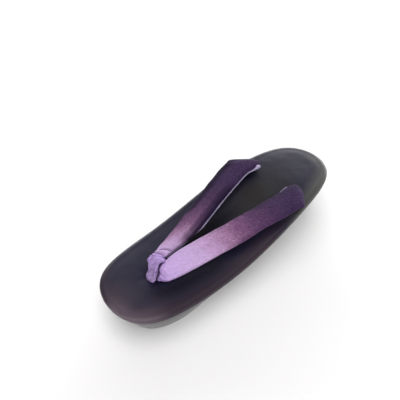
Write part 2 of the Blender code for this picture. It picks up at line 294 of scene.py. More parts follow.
# ---------------------------------------------------------------- materials
class Nodes:
    """A material's node tree, written short."""

    def __init__(self, name):
        self.mat = bpy.data.materials.new(name)
        self.mat.use_nodes = True
        self.tree = self.mat.node_tree
        self.shader = self.tree.nodes["Principled BSDF"]

    def add(self, kind, inputs=None, **settings):
        node = self.tree.nodes.new(kind)
        for key, value in settings.items():
            setattr(node, key, value)
        for key, value in (inputs or {}).items():
            if isinstance(value, bpy.types.NodeSocket):
                self.tree.links.new(value, node.inputs[key])
            else:
                node.inputs[key].default_value = value
        return node

    def set(self, **inputs):
        for key, value in inputs.items():
            key = key.replace("_", " ")
            if isinstance(value, bpy.types.NodeSocket):
                self.tree.links.new(value, self.shader.inputs[key])
            else:
                self.shader.inputs[key].default_value = value

    def place(self):
        return self.add("ShaderNodeTexCoord").outputs["Object"]

    def stretch(self, vector, scale):
        return self.add("ShaderNodeMapping", {"Vector": vector, "Scale": scale}).outputs["Vector"]

    def noise(self, vector, scale, detail=3.0, rough=0.5, distortion=0.0):
        return self.add("ShaderNodeTexNoise", {"Vector": vector, "Scale": scale, "Detail": detail,
                                               "Roughness": rough, "Distortion": distortion}).outputs["Fac"]

    def cells(self, vector, scale, feature="F1", randomness=1.0):
        node = self.add("ShaderNodeTexVoronoi", {"Vector": vector, "Scale": scale, "Randomness": randomness},
                        feature=feature)
        return node.outputs["Distance"]

    def span(self, value, low, high, to_low, to_high):
        return self.add("ShaderNodeMapRange", {"Value": value, "From Min": low, "From Max": high,
                                               "To Min": to_low, "To Max": to_high}).outputs["Result"]

    def math(self, operation, a, b=0.0):
        node = self.tree.nodes.new("ShaderNodeMath")
        node.operation = operation
        for socket, value in zip(node.inputs, (a, b)):
            if isinstance(value, bpy.types.NodeSocket):
                self.tree.links.new(value, socket)
            else:
                socket.default_value = value
        return node.outputs["Value"]

    def mix(self, factor, a, b, blend="MIX"):
        node = self.tree.nodes.new("ShaderNodeMix")
        node.data_type = "RGBA"
        node.blend_type = blend
        for key, value in (("Factor_Float", factor), ("A_Color", a), ("B_Color", b)):
            socket = next(s for s in node.inputs if s.identifier == key)
            if isinstance(value, bpy.types.NodeSocket):
                self.tree.links.new(value, socket)
            elif key == "Factor_Float":
                socket.default_value = value
            else:
                socket.default_value = (*value, 1.0) if len(value) == 3 else value
        return next(s for s in node.outputs if s.identifier == "Result_Color")

    def ramp(self, factor, stops, interpolation="EASE"):
        node = self.add("ShaderNodeValToRGB", {"Fac": factor})
        node.color_ramp.interpolation = interpolation
        elements = node.color_ramp.elements
        while len(elements) > 1:
            elements.remove(elements[-1])
        elements[0].position, elements[0].color = stops[0][0], (*stops[0][1], 1.0)
        for position, colour in stops[1:]:
            elements.new(position).color = (*colour, 1.0)
        return node.outputs["Color"]

    def attribute(self, name):
        return self.add("ShaderNodeAttribute", attribute_name=name).outputs["Fac"]

    def bump(self, height, distance, strength=1.0, normal=None):
        inputs = {"Height": height, "Distance": distance, "Strength": strength}
        if normal is not None:
            inputs["Normal"] = normal
        return self.add("ShaderNodeBump", inputs).outputs["Normal"]


def linear(*rgb):
    """An sRGB colour of 0 to 255 as linear numbers."""
    return tuple(((c / 255.0 + 0.055) / 1.055) ** 2.4 if c > 10 else c / 255.0 / 12.92 for c in rgb)


def leather(name, dark, light, roughness, gloss, grain, edge=(), coat=0.0, shadow_key=None):
    n = Nodes(name)
    place = n.place()
    broad = n.noise(place, 18.0, 3.0, 0.55)
    fine = n.noise(place, 420.0, 4.0, 0.6)
    colour = n.mix(n.span(broad, 0.3, 0.7, 0.0, 1.0), dark, light)
    colour = n.mix(n.span(fine, 0.35, 0.7, 0.0, 0.22), colour, tuple(1.5 * c for c in light))
    # tints blended in by attribute: the top's painted highlights and painted light, and its greyer middle
    for key, tint in edge:
        weight = n.math("MULTIPLY", n.attribute(key), n.span(broad, 0.25, 0.75, 0.8, 1.0))
        colour = n.mix(weight, colour, tint)
    if shadow_key:
        # painted shadow: near-black cover beside the strap
        colour = n.mix(n.attribute(shadow_key), colour, (0.0012, 0.0005, 0.0040))
    pebbles = n.cells(n.stretch(place, (1.0, 1.15, 1.0)), 1250.0, "F1", 0.95)
    pores = n.noise(place, 2300.0, 3.0, 0.6)
    waves = n.noise(place, 95.0, 2.0, 0.5)
    height = n.math("ADD", n.math("MULTIPLY", pebbles, -0.55), n.math("MULTIPLY", pores, 0.35))
    normal = n.bump(height, grain)
    normal = n.bump(waves, 0.00035, 0.55, normal)
    rough = n.math("ADD", n.span(fine, 0.3, 0.75, -0.05, 0.06), n.span(broad, 0.3, 0.7, roughness - 0.03, roughness + 0.04))
    if shadow_key:
        rough = n.math("ADD", rough, n.span(n.attribute(shadow_key), 0.0, 1.0, 0.0, 0.5))
    n.set(Base_Color=colour, Roughness=rough, Normal=normal)
    n.set(Specular_IOR_Level=gloss, Coat_Weight=coat, Coat_Roughness=0.18, Coat_IOR=1.7)
    n.mat.diffuse_color = (*light, 1.0)
    return n.mat


def crepe(name, stops, tint, bumpiness, uneven):
    """Crinkled crepe, dyed along the strap by the attribute 'tone', with painted shade mixed in by the attribute
    'shade'.

    The cross ribs follow the attributes 'way' and 'across', in mm along and over the strap."""
    n = Nodes(name)
    place = n.place()
    tone = n.attribute("tone")
    lay = n.add("ShaderNodeCombineXYZ", {"X": n.attribute("way"), "Y": n.attribute("across")}).outputs["Vector"]
    bias = n.add("ShaderNodeMapping", {"Vector": lay, "Rotation": (0.0, 0.0, math.radians(-30.0))}).outputs["Vector"]
    weft = n.noise(n.stretch(bias, (0.24, 0.80, 1.0)), 1.0, 2.0, 0.60, 0.4)
    knots = n.noise(n.stretch(lay, (0.80, 0.60, 1.0)), 1.0, 2.0, 0.65, 0.2)
    drift = n.noise(place, 160.0, 3.0, 0.6)
    speck = n.noise(place, 900.0, 2.0, 0.65)
    tone = n.math("ADD", tone, n.span(drift, 0.3, 0.7, -0.012, 0.012))
    tone = n.math("ADD", tone, n.span(speck, 0.3, 0.7, -0.023, 0.023))
    colour = n.ramp(tone, stops, "LINEAR")
    crinkle = n.noise(n.stretch(place, (1.0, 1.0, 1.0)), 1150.0, 4.0, 0.62, 0.6)
    ribs = n.cells(n.stretch(place, (1.0, 0.8, 1.0)), 1500.0, "F1", 1.0)
    colour = n.mix(n.span(crinkle, 0.35, 0.65, 0.0, 0.34), colour, tint, "MULTIPLY")
    mottle = n.math("ADD", n.math("MULTIPLY", weft, 0.62), n.math("MULTIPLY", knots, 0.38))
    # how uneven the deep end of the dye is, and the pale end
    amount = n.span(tone, 0.45, 0.72, uneven[0], uneven[1])
    patchy = n.math("ADD", n.math("MULTIPLY", amount, n.span(mottle, 0.36, 0.64, -1.0, 1.0)), 1.0)
    colour = n.mix(1.0, colour, patchy, "MULTIPLY")
    # painted shade: the cloth darkened towards DEEP_SHADE where 'shade' is set
    colour = n.mix(n.attribute("shade"), colour, DEEP_SHADE)
    height = n.math("ADD", crinkle, n.math("MULTIPLY", ribs, -0.35))
    height = n.math("ADD", height, n.math("MULTIPLY", weft, 0.9))
    normal = n.bump(height, 0.00045, bumpiness)
    normal = n.bump(n.noise(place, 260.0, 2.0, 0.5), 0.0005, 0.35, normal)
    n.set(Base_Color=colour, Roughness=0.78, Normal=normal)
    n.set(Sheen_Weight=0.03, Sheen_Roughness=0.45, Specular_IOR_Level=0.09)
    n.shader.inputs["Sheen Tint"].default_value = (0.80, 0.68, 0.95, 1.0)
    n.mat.diffuse_color = (*stops[-1][1], 1.0)
    return n.mat


def cotton(name, colour, shade):
    n = Nodes(name)
    place = n.place()
    weave = n.cells(place, 2600.0, "F1", 0.35)
    worn = n.noise(place, 210.0, 3.0, 0.55)
    mixed = n.mix(n.span(worn, 0.3, 0.7, 0.0, 0.6), colour, shade)
    n.set(Base_Color=mixed, Roughness=0.72, Normal=n.bump(weave, 0.00014, 0.8))
    n.set(Sheen_Weight=0.15, Sheen_Roughness=0.5, Specular_IOR_Level=0.3)
    n.mat.diffuse_color = (*colour, 1.0)
    return n.mat


def rubber(name, dark, light):
    n = Nodes(name)
    place = n.place()
    cloud = n.noise(place, 60.0, 4.0, 0.6)
    speck = n.noise(place, 1600.0, 2.0, 0.7)
    colour = n.mix(n.span(cloud, 0.3, 0.7, 0.0, 1.0), dark, light)
    n.set(Base_Color=colour, Roughness=n.span(cloud, 0.3, 0.7, 0.62, 0.76), Normal=n.bump(speck, 0.00012, 0.7))
    n.set(Specular_IOR_Level=0.5, Coat_Weight=0.35, Coat_Roughness=0.3, Coat_IOR=1.5)
    n.mat.diffuse_color = (*light, 1.0)
    return n.mat


# ---------------------------------------------------------------- colours
TOP_DARK = (0.0028, 0.0021, 0.0160)
TOP_LIGHT = (0.0042, 0.0032, 0.0190)
# the next five colours are painted highlights (rim, brim, toe, heel) and painted light (front) on the top cover
RIM_PAINTED_HIGHLIGHT = (0.0240, 0.0130, 0.0230)
BRIM_PAINTED_HIGHLIGHT = (0.1500, 0.1150, 0.1350)
FRONT_PAINTED_LIGHT = (0.0200, 0.0135, 0.0290)
TOE_PAINTED_HIGHLIGHT = (0.0800, 0.0580, 0.0800)
HEEL_PAINTED_HIGHLIGHT = (0.0650, 0.0650, 0.0600)
MIDDLE_GREY = (0.0190, 0.0175, 0.0150)
WALL_DARK = (0.0200, 0.0195, 0.0205)
WALL_LIGHT = (0.0260, 0.0255, 0.0265)
TREAD_DARK = linear(122, 121, 123)
TREAD_LIGHT = linear(136, 135, 137)
LINING = linear(176, 166, 196)
LINING_SHADE = linear(146, 134, 170)

# the colour of the painted shade on the crepe
DEEP_SHADE = linear(22, 9, 38)

# The strap's shading from the heel end to the front, by the share of LENGTH.
STRAP_STOPS = (
    (62 / LENGTH, linear(56, 40, 71)),
    (80 / LENGTH, linear(57, 41, 73)),
    (96 / LENGTH, linear(69, 47, 79)),
    (112 / LENGTH, linear(86, 58, 92)),
    (128 / LENGTH, linear(116, 80, 115)),
    (140 / LENGTH, linear(154, 117, 151)),
    (152 / LENGTH, linear(179, 147, 186)),
    (166 / LENGTH, linear(187, 161, 201)),
    (182 / LENGTH, linear(188, 162, 207)),
    (200 / LENGTH, linear(187, 158, 211)),
    (0.90, linear(172, 145, 200)),
    (1.00, linear(168, 141, 196)),
)
LOOP_STOPS = (
    (0.0, linear(181, 155, 209)),
    (0.5, linear(170, 145, 192)),
    (1.0, linear(154, 128, 184)),
)
LEFT_SHIFT = -16.6 / LENGTH     # the far leg's colour starts this much nearer the front: partly its dye, partly painted shade

top_leather = leather("top_leather", TOP_DARK, TOP_LIGHT, 0.43, 0.23, 0.00004,
                      (("middle", MIDDLE_GREY), ("front", FRONT_PAINTED_LIGHT), ("rim", RIM_PAINTED_HIGHLIGHT), ("toe", TOE_PAINTED_HIGHLIGHT),
                       ("heel", HEEL_PAINTED_HIGHLIGHT), ("brim_highlight", BRIM_PAINTED_HIGHLIGHT)), 0.0, "painted_shadow")
wall_leather = leather("wall_leather", WALL_DARK, WALL_LIGHT, 0.36, 0.60, 0.000015, (), 0.70)
tread_rubber = rubber("tread_rubber", TREAD_DARK, TREAD_LIGHT)
strap_cloth = crepe("strap_cloth", STRAP_STOPS, (0.74, 0.68, 0.80), 0.52, (0.30, 0.10))
loop_cloth = crepe("loop_cloth", LOOP_STOPS, (0.72, 0.66, 0.80), 1.15, (0.38, 0.44))
lining_cloth = cotton("lining_cloth", LINING, LINING_SHADE)


# ---------------------------------------------------------------- the front loop
FRONT_FOOT_WAY = 13.5      # the way along the loop's rows where it leaves the hole in front
# Folds along the loop: across (v) at half height, lean, height (below 0 a crease), width, from and to (0 foot, 1 crest).
LOOP_FOLDS = (
    (4.9, -1.2, -1.30, 0.55, 0.00, 0.38),
    (6.6, -0.6, 0.35, 1.10, 0.00, 0.30),
    (2.7, 1.6, 0.45, 0.80, 0.05, 0.80),
    (1.3, 2.2, -0.75, 0.50, 0.12, 0.95),
    (-0.4, 0.9, 0.50, 0.85, 0.00, 0.90),
    (-1.9, -0.8, -0.70, 0.50, 0.20, 1.20),
    (-3.4, -2.6, 0.45, 0.90, 0.05, 1.00),
    (-5.2, -3.4, -0.50, 0.55, 0.45, 1.20),
    (-2.6, -2.2, -0.45, 0.45, 0.00, 0.35),
)


def loop_mesh():
    count, points = 190, 96
    s = sections(LOOP_ROWS, LOOP_COLUMNS, count, 0.7)
    mid = np.stack([s["u"], 0.0 * s["u"], s["z"]], axis=1)
    tangent = np.gradient(mid, axis=0)
    tangent /= np.linalg.norm(tangent, axis=1)[:, None]
    across = np.array([0.0, 1.0, 0.0])
    angle = np.linspace(0.0, 2.0 * math.pi, points, endpoint=False)
    cos, sin = np.cos(angle), np.sin(angle)
    verts, shades = [], []
    total = s["way"][-1]
    top_at = s["way"][np.argmax(s["z"])]
    for k in range(count):
        normal = np.cross(tangent[k], across)
        way = s["way"][k]
        y = np.sign(cos) * np.abs(cos) ** 0.9
        reach = y * s["wide"][k]
        rise = np.sign(sin) * np.abs(sin) ** 0.85 * s["thick"][k]
        v = s["v"][k] + reach
        outer = np.clip(sin, 0.0, 1.0) ** 0.5      # creases show on the outer face
        # how far along: 0 where the loop leaves the hole in front, 1 at its crest
        rising = np.clip((way - FRONT_FOOT_WAY) / (top_at - FRONT_FOOT_WAY), -0.4, 1.6)
        bulk = 0.0
        for at_v, lean, deep, wide, low, high in LOOP_FOLDS:
            line = at_v + lean * (rising - 0.5) + 0.35 * math.sin(7.0 * rising + at_v)
            here = float(smoothstep(low - 0.18, low + 0.05, rising) * (1.0 - smoothstep(high - 0.05, high + 0.18, rising)))
            bulk = bulk + deep * here * bell(v, line, wide)
        rise = rise + 1.85 * bulk * outer
        edge = 0.28 * math.sin(2.0 * math.pi * (rising * 1.9 + 0.15)) + 0.2 * math.sin(2.0 * math.pi * (rising * 4.3))
        reach = reach * (1.0 + 0.04 * edge * float(smoothstep(-0.1, 0.1, rising)))
        sag = s["drape"][k] * (reach + s["v"][k] * 0.35) ** 2
        # its near edge curls back against the point of the V
        hug = 0.060 * float(bell(rising, 0.30, 0.42)) * np.clip(reach, 0.0, None) ** 2
        sag = sag + hug
        # painted shade in the creases and along the loop's near edge
        edge_painted_shade = smoothstep(0.70, 1.0, y) * 0.08 * float(1.0 - smoothstep(0.8, 1.1, rising))
        shades.append(np.clip(np.clip(-1.05 * bulk, 0.0, 0.62) * outer + edge_painted_shade, 0.0, 0.85))
        verts.append(mid[k] + np.outer(s["v"][k] + reach, across) + np.outer(rise - sag, normal))
    verts = np.concatenate(verts)
    verts = verts + 0.20 * np.stack([lumps(verts, 3.6, 3 + k) for k in range(3)], axis=1)
    marks = {
        "tone": np.repeat(np.clip(s["way"] / total * 1.6, 0.0, 1.0), points),
        "shade": np.concatenate(shades),
        "way": np.repeat(s["way"], points),
        "across": np.tile(cos * 5.0, count),
    }
    return verts, loft_faces(count, points), marks


verts, faces, marks = loop_mesh()
loop = outward(build("front_loop_crepe", verts, faces, [loop_cloth], None, list(marks.items())))
bpy.context.view_layer.update()
loop_tree = BVHTree.FromPolygons([tuple(v.co * 1000.0) for v in loop.data.vertices],
                                 [tuple(p.vertices) for p in loop.data.polygons])


# ---------------------------------------------------------------- the strap
LEG_COUNT = 236
LEG_POINTS = 88
# How much further out (mm in v) the near leg's inner and outer edges lie, by u.
NEAR_LEG_EASE = (
    (40.0, 0.0, 0.0),
    (100.0, 0.0, 0.4),
    (116.0, 0.2, 0.6),
    (131.0, 2.0, 2.0),
    (146.0, 2.8, 1.6),
    (160.0, 2.9, 0.2),
    (174.0, 1.3, -0.8),
    (186.0, 0.7, -0.7),
    (200.0, 0.2, -0.3),
)


def leg_frame(count=LEG_COUNT, side=-1):
    s = sections(LEG_ROWS, LEG_COLUMNS, count, 0.62)
    if side > 0:
        # the near leg lies a little further out in its middle
        ease = table(("u", "inner", "outer"), NEAR_LEG_EASE)
        s["in_v"] = s["in_v"] + spline(ease["u"], ease["inner"], s["in_u"])
        s["out_v"] = s["out_v"] + spline(ease["u"], ease["outer"], s["out_u"])
    inner = np.stack([s["in_u"], s["in_v"], s["in_z"]], axis=1)
    outer = np.stack([s["out_u"], s["out_v"], s["out_z"]], axis=1)
    mid = 0.5 * (inner + outer)
    half = 0.5 * (outer - inner)
    tangent = np.gradient(mid, axis=0)
    tangent /= np.linalg.norm(tangent, axis=1)[:, None]
    normal = np.cross(half, tangent)
    normal /= np.linalg.norm(normal, axis=1)[:, None]
    width = np.linalg.norm(half, axis=1)
    return s, mid, half / width[:, None], normal, tangent, width


FLARE = 2.6
found = sections(LEG_ROWS, LEG_COLUMNS, LEG_COUNT, 0.62)
TUCK_WAY = float(found["way"][np.argmin(found["in_u"])])


def leg_mesh(side, grow=0.0, fine=True):
    """The crepe body of one leg, closed; side is +1 or -1."""
    count, points = (LEG_COUNT, LEG_POINTS) if fine else (44, 24)
    s, mid, across, normal, tangent, width = leg_frame(count, side)
    angle = np.linspace(0.0, 2.0 * math.pi, points, endpoint=False) + math.pi / points
    cos, sin = np.cos(angle), np.sin(angle)
    a = np.sign(cos) * np.abs(cos) ** (2.0 / SECTION_POWER)
    rise = np.sign(sin) * np.abs(sin) ** (2.0 / SECTION_POWER)
    degrees = np.degrees(angle)
    verts = []
    for k in range(count):
        reach = a * (width[k] + grow)
        if fine:
            bottom = 0.60 + 0.40 * smoothstep(0.55, 0.85, a)
            n = np.where(rise > 0.0, (s["face"][k] + grow) * rise, s["under"][k] * bottom * rise)
            # the crepe turns in under its inner edge, above the lining
            reach = reach + 0.45 * bell(degrees, 207.0, 13.0)
            u = mid[k][0]
            t = smoothstep(170.0, 190.0, u)
            if side < 0:
                # drawn in at the cuff, where the loop grips it
                reach = reach - 2.3 * np.clip(a, 0.0, 1.0) * float(bell(u, 185.5, 5.0))
                # its rear corner flares inward round the end of the piping
                w = s["way"][k]
                flare = FLARE * float(smoothstep(TUCK_WAY - 17.0, TUCK_WAY - 7.0, w) * (1.0 - smoothstep(TUCK_WAY + 4.0, TUCK_WAY + 9.0, w)))
                reach = reach - flare * np.clip(-a, 0.0, 1.0) ** 2
            # a soft ridge and trough along the padding
            n = n + 0.16 * np.where(rise > 0.0, 1.0, 0.0) * np.sin(math.pi * (a + 1.0)) * (1.0 - t)
            # gathers near the front, fanning from the point
            gather = (0.34 * np.cos(9.0 * angle + 0.04 * u) + 0.22 * np.cos(15.0 * angle - 0.4)) * t
            n = n + gather * np.where(rise > 0.0, 0.55, 0.25)
        else:
            n = np.where(rise > 0.0, s["face"][k] + grow, s["under"][k] + grow) * rise
        verts.append(mid[k] + np.outer(reach, across[k]) + np.outer(n, normal[k]))
    verts = np.array(verts)
    if not fine:
        # a cutter goes a little deeper than the strap's end
        verts = np.concatenate([verts, verts[-1:] + tangent[-1] * 1.2])
    else:
        # rounded point: a few shrinking rings past the first section
        caps = []
        first = verts[0]
        centre = first.mean(axis=0)
        for t in (1.0, 0.86, 0.66, 0.42, 0.2):
            bend = math.sqrt(max(0.0, 1.0 - t * t)) if t < 1.0 else 0.12
            caps.append(centre + (first - centre) * bend - tangent[0] * (1.2 * t))
        verts = np.concatenate([np.array(caps), verts])
    rings = len(verts)
    flat = verts.reshape(-1, 3)
    if fine:
        along_u = np.repeat(np.concatenate([np.full(rings - count, mid[0][0]), mid[:, 0]]), points)
        along_way = np.repeat(np.concatenate([np.full(rings - count, 0.0), s["way"]]), points)
        # uneven padding
        bumpy = 0.34 * lumps(flat, 11.0, 1 if side > 0 else 2) + 0.13 * lumps(flat, 4.0, 5 if side > 0 else 6)
        centre = np.repeat(np.concatenate([np.repeat(mid[:1], rings - count, axis=0), mid]), points, axis=0)
        away = flat - centre
        away /= np.maximum(np.linalg.norm(away, axis=1), 1e-6)[:, None]
        flat = flat + away * bumpy[:, None] * smoothstep(34.0, 46.0, flat[:, 2] + 10.0)[:, None]
        up = np.repeat(np.concatenate([np.repeat(normal[:1], rings - count, axis=0), normal]), points, axis=0)
        across_all = np.tile(a, rings)
        upper = np.tile(np.clip(rise, 0.0, 1.0), rings) ** 0.6
        # painted shade: darker strap edges, and the far leg's dark inner side wall
        if side > 0:
            front = smoothstep(162.0, 142.0, along_u)
            rear = smoothstep(126.0, 100.0, along_u)
            shade = (0.06 + 0.12 * front + 0.30 * bell(along_u, 127.0, 11.0)) * smoothstep(0.60, 1.0, across_all)
            shade = shade + (0.10 + 0.16 * front) * smoothstep(-0.55, -0.95, across_all)
            shade = shade + 0.40 * rear * smoothstep(-0.10, -0.80, across_all)
        else:
            middle = smoothstep(92.0, 108.0, along_u) * smoothstep(172.0, 160.0, along_u)
            shade = 0.15 * smoothstep(92.0, 108.0, along_u) * smoothstep(186.0, 178.0, along_u) + 0.10 * bell(along_u, 122.0, 15.0)
            start = 0.28 + 0.30 * smoothstep(130.0, 148.0, along_u)
            shade = shade + (0.40 + 0.56 * smoothstep(162.0, 134.0, along_u)) * smoothstep(start, start + 0.46, across_all)
            shade = shade + 0.50 * middle * smoothstep(-0.25, -0.66, across_all)
            shade = shade + 0.32 * smoothstep(-0.70, -0.95, across_all) * smoothstep(184.0, 170.0, along_u)
        for centre_u, size, width_u, slant, low, high in LEG_FOLDS[side]:
            at = along_u - slant * across_all
            reach = smoothstep(low - 0.25, low, across_all) * (1.0 - smoothstep(high, high + 0.25, across_all))
            flat = flat + up * (size * bell(at, centre_u, width_u) * reach * upper)[:, None]
            # painted shade in the creases
            if size < 0.0:
                shade = shade + np.clip(-0.55 * size, 0.0, 0.55) * bell(at, centre_u, 0.8 * width_u) * reach * upper
        # the points are blunt: what lies past BLUNT_FROM is pushed back
        past = np.clip(flat[:, 0] - BLUNT_FROM, 0.0, None)
        blunt = np.where(past > 0.0, BLUNT_FROM + BLUNT_REACH * (1.0 - np.exp(-past / BLUNT_REACH)), flat[:, 0])
        high = smoothstep(28.0, 30.5, flat[:, 2]) if side > 0 else 1.0
        flat[:, 0] += (blunt - flat[:, 0]) * high
        # each leg keeps to its own side of the centre plane, pressed flat against the other
        y = flat[:, 1]
        keep = 0.14
        flat[:, 1] = np.where(y < 3.0, keep + (3.0 - keep) * np.exp((y - 3.0) / (3.0 - keep)), y)
        flat[:, 1] = np.maximum(flat[:, 1], keep)
        tone = np.clip(along_u / LENGTH + (LEFT_SHIFT if side < 0 else 0.0), 0.0, 1.0)
        tone = np.where(along_way > 150.0, np.minimum(tone, 70.0 / LENGTH), tone)
        if side > 0:
            # the tuck under the point is the loop's cloth, with painted shade under the point
            tuck = (flat[:, 0] > 195.0) & (flat[:, 2] < 29.3)
            tone = np.where(tuck, 1.0, tone)
            shade = np.where(tuck, np.maximum(shade, 0.34), shade)
        if side < 0:
            # the loop's cloth is drawn over this leg's end; its edge runs across at the cuff
            tone = np.where((along_u - 1.1 * across_all > 187.0) & (along_way < 60.0), 0.97, tone)
            # the darker colour reaches further forward along its outer side
            far_side = smoothstep(-0.1, 0.85, across_all) * smoothstep(186.0, 168.0, along_u)
            tone = tone - far_side * 11.0 / LENGTH
        marks = {"tone": tone, "shade": np.clip(shade, 0.0, 0.96), "way": along_way,
                 "across": across_all * np.repeat(np.concatenate([np.full(rings - count, width[0]), width]), points)}
    else:
        marks = {}
    flat = flat * np.array([1.0, side, 1.0])
    return flat, loft_faces(rings, points), marks


BLUNT_FROM, BLUNT_REACH = 192.0, 4.8
# Creases pressed into each leg: where (u), height, width along u, slant across, from and to across the strap.
LEG_FOLDS = {
    1: (
        (193.6, -0.40, 1.2, -1.6, -0.9, 0.4),
        (190.6, 0.30, 1.6, -2.0, -1.0, 0.3),
        (73.5, -0.30, 1.6, 5.0, -0.9, 0.9),
        (67.5, 0.28, 1.8, 7.0, -0.8, 0.9),
    ),
    -1: (
        (186.5, -1.50, 0.75, 1.1, -1.0, 1.0),
        (188.5, 0.95, 1.10, 1.1, -1.0, 1.0),
        (184.4, 0.65, 0.90, 2.2, -1.0, 0.7),
        (182.1, -0.95, 0.75, 4.0, -1.0, 0.1),
        (180.0, 0.45, 1.00, 4.0, -1.0, 0.2),
        (191.3, -0.80, 0.80, -3.0, -0.6, 0.9),
        (194.0, -0.70, 0.70, 2.4, -0.2, 1.0),
        (70.0, 0.22, 3.0, 6.0, -0.8, 0.9),
    ),
}


def clear_of(points_mm, tree, margin, reach=7.0):
    """Points moved out to at least 'margin' from the tree's solid. Returns the points and which moved."""
    moved = np.zeros(len(points_mm), dtype=bool)
    out = points_mm.copy()
    for i, p in enumerate(points_mm):
        if not (LOOP_LOW[0] < p[0] < LOOP_HIGH[0] and LOOP_LOW[1] < p[1] < LOOP_HIGH[1] and LOOP_LOW[2] < p[2] < LOOP_HIGH[2]):
            continue
        place, facing, _, distance = tree.find_nearest(Vector(p), reach)
        if place is None:
            continue
        gap = (Vector(p) - place).dot(facing)
        if gap < margin:
            out[i] = np.array(place + facing * margin)
            moved[i] = True
    return out, moved


loop_points = np.array([v.co[:] for v in loop.data.vertices]) * 1000.0
LOOP_LOW, LOOP_HIGH = loop_points.min(axis=0) - 1.5, loop_points.max(axis=0) + 1.5


def neighbours(faces, count):
    pairs = set()
    for f in faces:
        if len(f) > 4:
            continue
        for i in range(len(f)):
            a, b = f[i], f[(i + 1) % len(f)]
            pairs.add((min(a, b), max(a, b)))
    pairs = np.array(sorted(pairs))
    return pairs


def settle(points, faces, tree, margin, rounds=4):
    """Moves points clear of the loop, with the cloth round the dent eased."""
    local = points.copy()
    local[:, 0] -= 0.5 * LENGTH
    pairs = neighbours(faces, len(points))
    for step in range(rounds):
        local, moved = clear_of(local, tree, margin)
        if not moved.any():
            break
        soft = moved.copy()
        for _ in range(3):
            touch = soft[pairs[:, 0]] | soft[pairs[:, 1]]
            soft[pairs[touch].ravel()] = True
        total = np.zeros_like(local)
        number = np.zeros(len(local))
        np.add.at(total, pairs[:, 0], local[pairs[:, 1]])
        np.add.at(total, pairs[:, 1], local[pairs[:, 0]])
        np.add.at(number, pairs[:, 0], 1.0)
        np.add.at(number, pairs[:, 1], 1.0)
        mean = total / np.maximum(number, 1.0)[:, None]
        local[soft] = 0.5 * local[soft] + 0.5 * mean[soft]
    local, moved = clear_of(local, tree, margin)
    local[:, 0] += 0.5 * LENGTH
    return local


all_verts, all_faces, all_marks = [], [], []
for side in (1, -1):
    verts, faces, marks = leg_mesh(side)
    verts = settle(verts, faces, loop_tree, 0.16)
    start = len(np.concatenate(all_verts)) if all_verts else 0
    all_verts.append(verts)
    all_marks.append(marks)
    all_faces += [tuple(start + i for i in f) for f in faces]
strap = outward(build("strap_crepe", np.concatenate(all_verts), all_faces, [strap_cloth], None,
                      [(key, np.concatenate([m[key] for m in all_marks])) for key in ("tone", "shade", "way", "across")]))


def lining_mesh(side):
    """The pale lining under one leg; its rolled edge shows along the strap's inner side."""
    count = LEG_COUNT
    s, mid, across, normal, tangent, width = leg_frame(count, side)
    verts = []
    rings = 0
    arc = np.radians(np.linspace(275.0, 75.0, 12))
    for k in range(count):
        if s["way"][k] < 14.0 or s["way"][k] > s["way"][-1] - 6.0:
            continue
        u = mid[k][0]
        w, scale = width[k], s["under"][k] / 2.4
        # how far the rolled edge shows: hidden where the legs meet, fuller at the rear tuck
        in_u = s["in_u"][k]
        hide = smoothstep(128.0, 150.0, in_u)
        rear = smoothstep(78.0, 60.0, in_u) if s["way"][k] < 150.0 else 1.0
        if side < 0:
            way = s["way"][k]
            tuck = bell(way, TUCK_WAY - 9.2, 2.0)
            stitch = bell(way, 81.5, 1.0)
            flare = FLARE * smoothstep(TUCK_WAY - 18.0, TUCK_WAY - 9.0, way) * (1.0 - smoothstep(TUCK_WAY - 7.5, TUCK_WAY - 5.0, way))
            bead = 0.46 + 0.12 * rear + 1.75 * tuck + 0.42 * stitch
            stick = 0.10 + 0.30 * rear + 2.9 * tuck + flare + 0.55 * stitch - 3.4 * smoothstep(142.0, 160.0, in_u)
            stick = stick - 1.4 * smoothstep(TUCK_WAY - 7.0, TUCK_WAY - 4.5, way)
            lift = 0.30 * rear + 0.3 * tuck
        else:
            tuck = bell(s["way"][k], 126.5, 10.0)
            bead = 0.34
            stick = -0.45 + 0.80 * tuck - 1.6 * hide
            lift = 2.5 * tuck
        low = -2.42 * scale
        centre = np.array([-w - stick + bead, low + bead + lift])
        outer_end = 0.80 * w
        path = [(outer_end - t * (outer_end - centre[0]), low + 0.12 * math.sin(math.pi * t)) for t in np.linspace(0.0, 0.97, 14)]
        path += [(centre[0] + bead * math.cos(x), centre[1] + bead * math.sin(x)) for x in arc]
        path += [(centre[0] + 0.6 + t * (outer_end - centre[0] - 0.6), -1.50 * scale - 0.35 * scale * t) for t in np.linspace(0.04, 1.0, 14)]
        path = np.array(path)
        verts.append(mid[k] + np.outer(path[:, 0], across[k]) + np.outer(path[:, 1], normal[k]))
        rings += 1
    points = len(verts[0])
    flat = np.concatenate(verts)
    flat = flat + 0.10 * np.stack([lumps(flat, 5.0, 20 + k) for k in range(3)], axis=1)
    flat[:, 1] = np.maximum(flat[:, 1], 0.16)
    flat = flat * np.array([1.0, side, 1.0])
    return flat, loft_faces(rings, points), points


all_verts, all_faces = [], []
for side in (1, -1):
    verts, faces, points = lining_mesh(side)
    verts = settle(verts, faces, loop_tree, 0.16, 2)
    start = len(np.concatenate(all_verts)) if all_verts else 0
    all_verts.append(verts)
    all_faces += [tuple(start + i for i in f) for f in faces]
lining = outward(build("strap_lining", np.concatenate(all_verts), all_faces, [lining_cloth]))


# ---------------------------------------------------------------- the padded top
CROWN = 0.9            # how far the top's edge drops below its flat middle
CROWN_REACH = 9.0
ROLL_SQUARE = 0.78     # 1 gives a round roll, less a squarer one
HOLES = ((200.0, 0.0, 8.5, 1.1), (69.5, 29.5, 9.0, 1.3), (69.5, -29.5, 9.0, 1.3))


